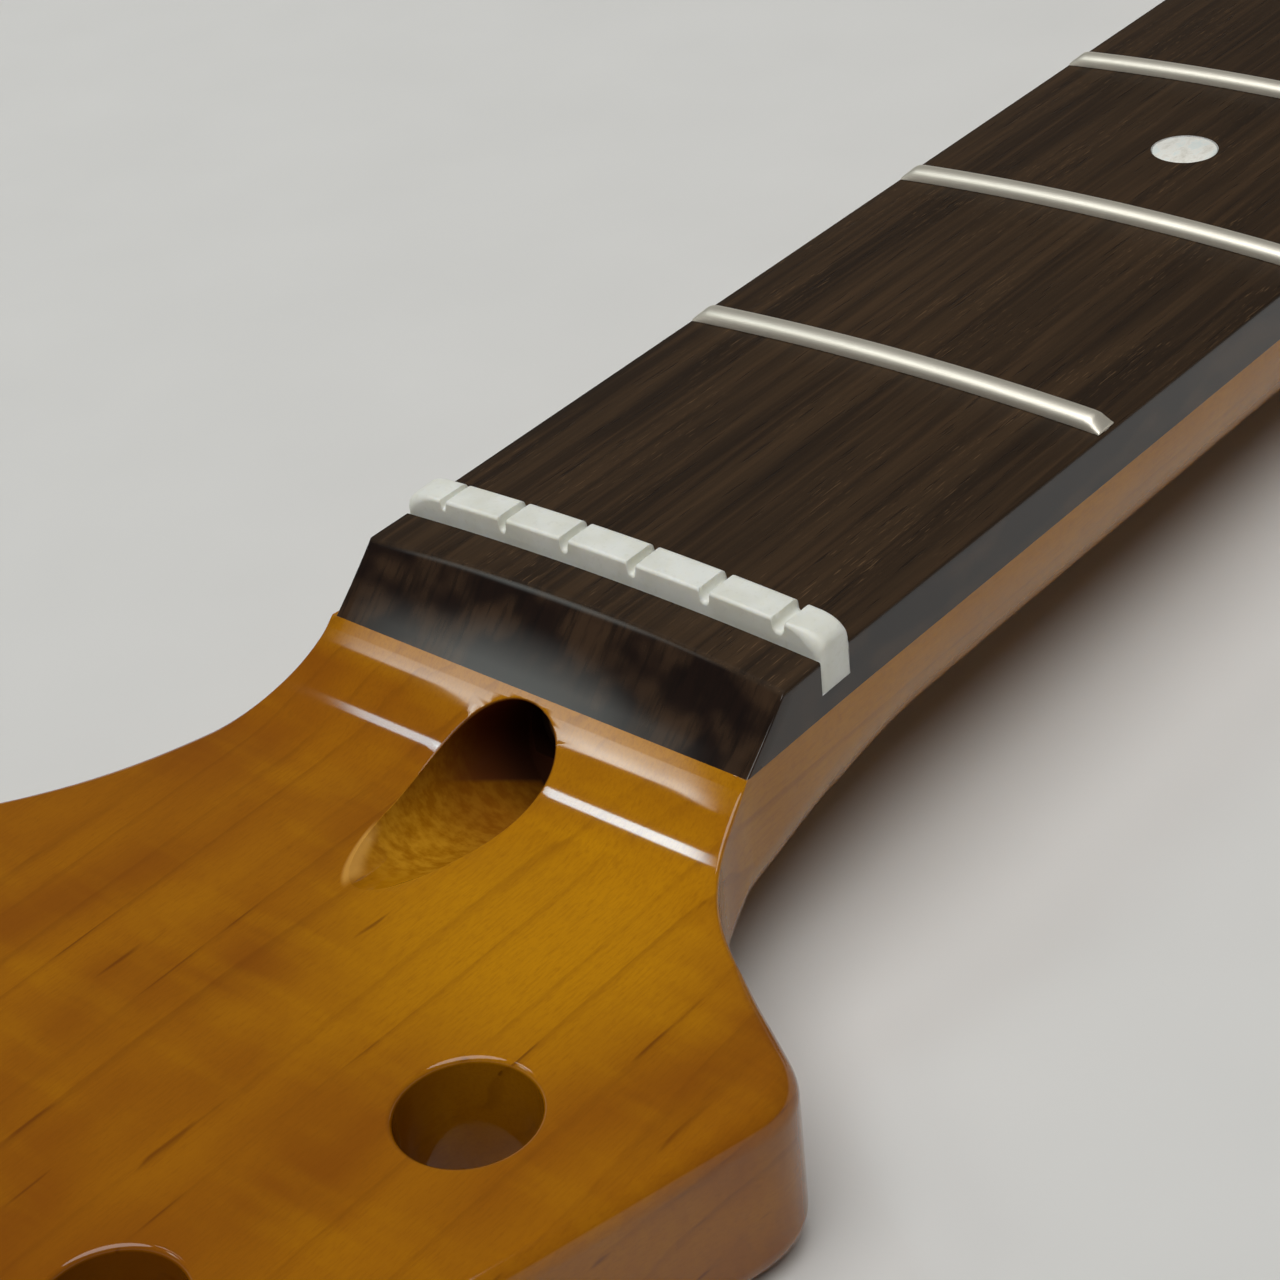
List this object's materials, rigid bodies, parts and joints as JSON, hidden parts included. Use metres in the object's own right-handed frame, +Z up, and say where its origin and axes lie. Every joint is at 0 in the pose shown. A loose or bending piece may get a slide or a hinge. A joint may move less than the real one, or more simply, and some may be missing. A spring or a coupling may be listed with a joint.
{
  "type": "electric guitar neck",
  "caption": "Bolt-on electric guitar neck in glossy amber maple, with a dark rounded fingerboard, slotted nut, frets, dot inlays, in-line tuner holes and a truss rod adjusted at the headstock.",
  "frame": {"origin": "centre of the four screw holes in the flat back of the heel", "axes": "+X along the neck from the headstock to the heel and past it into the body, +Y to the treble side, +Z up through the fingerboard"},
  "size_m": [0.6649, 0.0772, 0.0276],
  "materials": {
    "maple": "amber-tinted maple under a thick gloss lacquer",
    "rosewood": "dark open-pored wood, satin on top, lacquered on its sides and sloping end",
    "bone": "off-white bone-like synthetic, polished",
    "fret_nickel": "polished nickel silver",
    "pearl": "pearl-white plastic, sanded flush",
    "rod_steel": "plain steel",
    "brass": "sawn brass"
  },
  "bodies": {
    "neck": {"neck": "maple", "fingerboard": "rosewood", "nut": "bone", "fret_01": "fret_nickel", "fret_02": "fret_nickel", "fret_03": "fret_nickel", "fret_04": "fret_nickel", "fret_05": "fret_nickel", "fret_06": "fret_nickel", "fret_07": "fret_nickel", "fret_08": "fret_nickel", "fret_09": "fret_nickel", "fret_10": "fret_nickel", "fret_11": "fret_nickel", "fret_12": "fret_nickel", "fret_13": "fret_nickel", "fret_14": "fret_nickel", "fret_15": "fret_nickel", "fret_16": "fret_nickel", "fret_17": "fret_nickel", "fret_18": "fret_nickel", "fret_19": "fret_nickel", "fret_20": "fret_nickel", "fret_21": "fret_nickel", "fret_22": "fret_nickel", "dot_03": "pearl", "dot_05": "pearl", "dot_07": "pearl", "dot_09": "pearl", "dot_12_bass": "pearl", "dot_12_treble": "pearl", "dot_15": "pearl", "dot_17": "pearl", "dot_19": "pearl", "dot_21": "pearl", "side_dot_03": "pearl", "side_dot_05": "pearl", "side_dot_07": "pearl", "side_dot_09": "pearl", "side_dot_12_nut_side": "pearl", "side_dot_12_heel_side": "pearl", "side_dot_15": "pearl", "side_dot_17": "pearl", "side_dot_19": "pearl", "side_dot_21": "pearl", "truss_rod_bar": "rod_steel", "truss_block_head": "brass", "truss_block_heel": "brass"},
    "truss_screw": {"truss_rod": "rod_steel", "truss_rod_adjuster": "rod_steel"}
  },
  "joints": [
    {"name": "truss_rod_turn", "type": "hinge", "parent": "neck", "child": "truss_screw", "pos_m": [-0.42545, 0, 0.0132], "axis": [1, 0, 0], "range_deg": [-270, 270]}
  ]
}
